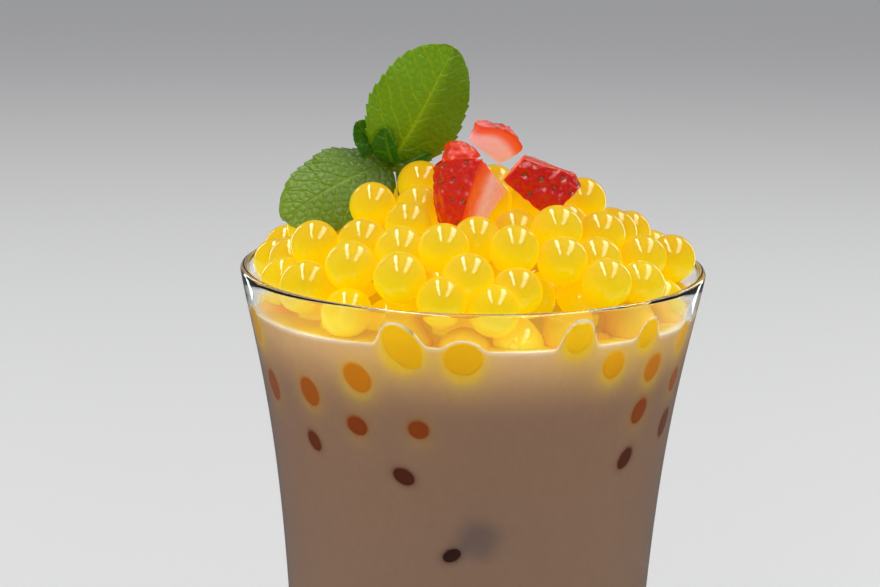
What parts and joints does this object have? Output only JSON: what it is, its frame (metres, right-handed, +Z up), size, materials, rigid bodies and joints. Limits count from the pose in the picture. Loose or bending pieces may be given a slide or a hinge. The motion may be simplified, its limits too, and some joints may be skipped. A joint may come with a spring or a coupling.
{
  "type": "bubble tea",
  "caption": "Milk tea in a clear flared glass, heaped with round yellow tapioca pearls and topped with cut strawberry and a sprig of mint.",
  "frame": {"origin": "centre of the glass's flat underside", "axes": "+Z up along the glass's axis; -Y is the front, the side the picture shows; +X is to the right seen from the front"},
  "size_m": [0.0878, 0.0878, 0.1904],
  "materials": {
    "clear_glass": "clear, polished",
    "milk_tea": "opaque milky liquid, pale pinkish brown",
    "yellow_pearl": "wet, glossy, translucent gel",
    "strawberry": "wet red skin with seeds, and moist pink and white cut flesh",
    "mint_leaf": "satin green leaf with netted veins"
  },
  "bodies": {
    "root": {"glass": "clear_glass", "milk_tea": "milk_tea", "pearls": "yellow_pearl", "strawberry_front": "strawberry", "strawberry_right": "strawberry", "strawberry_top": "strawberry", "strawberry_left": "strawberry", "strawberry_back": "strawberry", "mint_sprig": "mint_leaf"}
  },
  "joints": []
}
